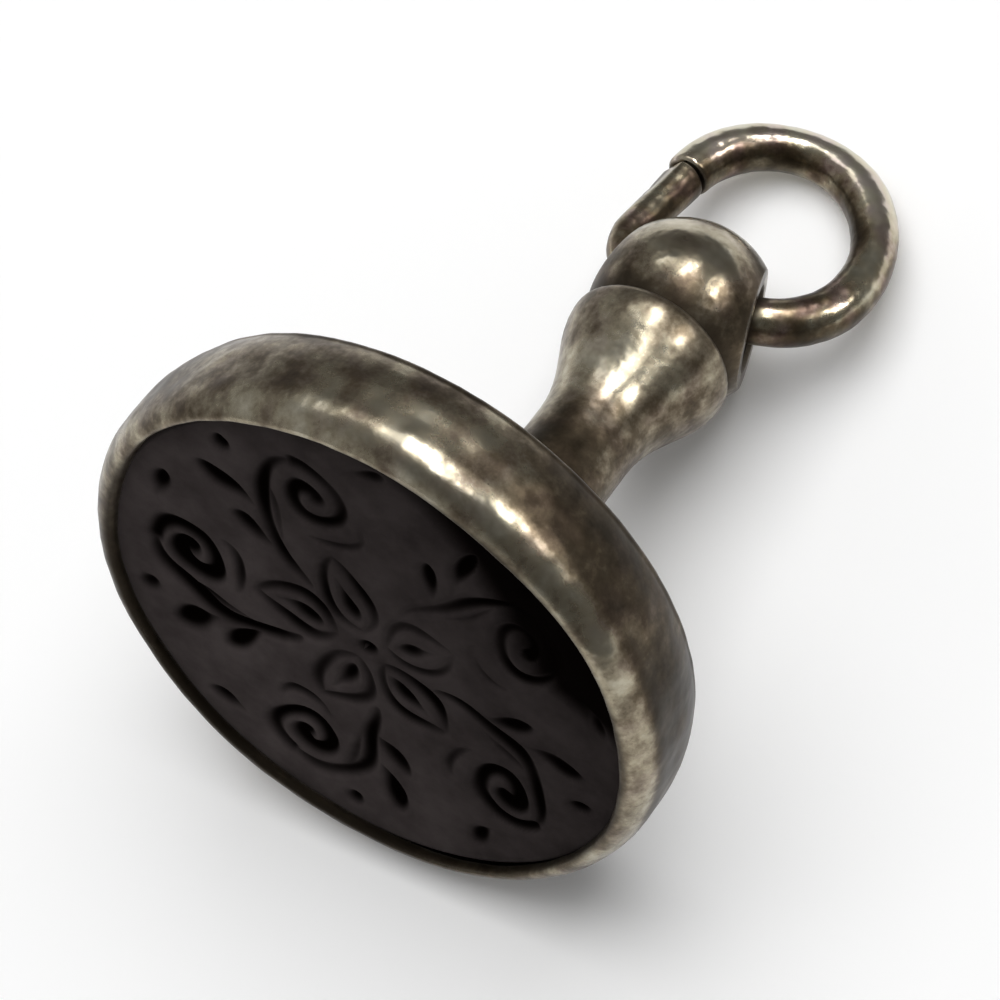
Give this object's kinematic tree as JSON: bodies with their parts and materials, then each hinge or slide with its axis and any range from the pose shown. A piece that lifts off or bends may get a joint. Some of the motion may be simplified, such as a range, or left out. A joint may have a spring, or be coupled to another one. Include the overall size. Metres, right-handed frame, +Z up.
{
  "type": "wax seal stamp",
  "caption": "Small silver hand seal: cup head with an engraved inset face, turned stem with a trumpet foot and pear bulb, pierced ball knob and a swinging split ring for a chain.",
  "frame": {"origin": "middle of the circle where the head's lip meets the surface it is pressed on", "axes": "+Z up the stem towards the ring, +X along the knob's cross hole, +Y towards the ring's back"},
  "size_m": [0.02, 0.02, 0.0274],
  "materials": {
    "silver": "tarnished, softly polished",
    "matrix_stone": "dark engraved hardstone, satin",
    "pitch": "dark setting pitch"
  },
  "bodies": {
    "seal": {"bezel_cup": "silver", "seal_matrix": "matrix_stone", "setting_pitch": "pitch", "stem": "silver", "knob": "silver"},
    "ring": {"jump_ring": "silver"}
  },
  "joints": [
    {"name": "ring_swing", "type": "hinge", "parent": "seal", "child": "ring", "pos_m": [0.00131, 0.00059, 0.01862], "axis": [1, 0, 0], "range_deg": [-94, 94]}
  ]
}
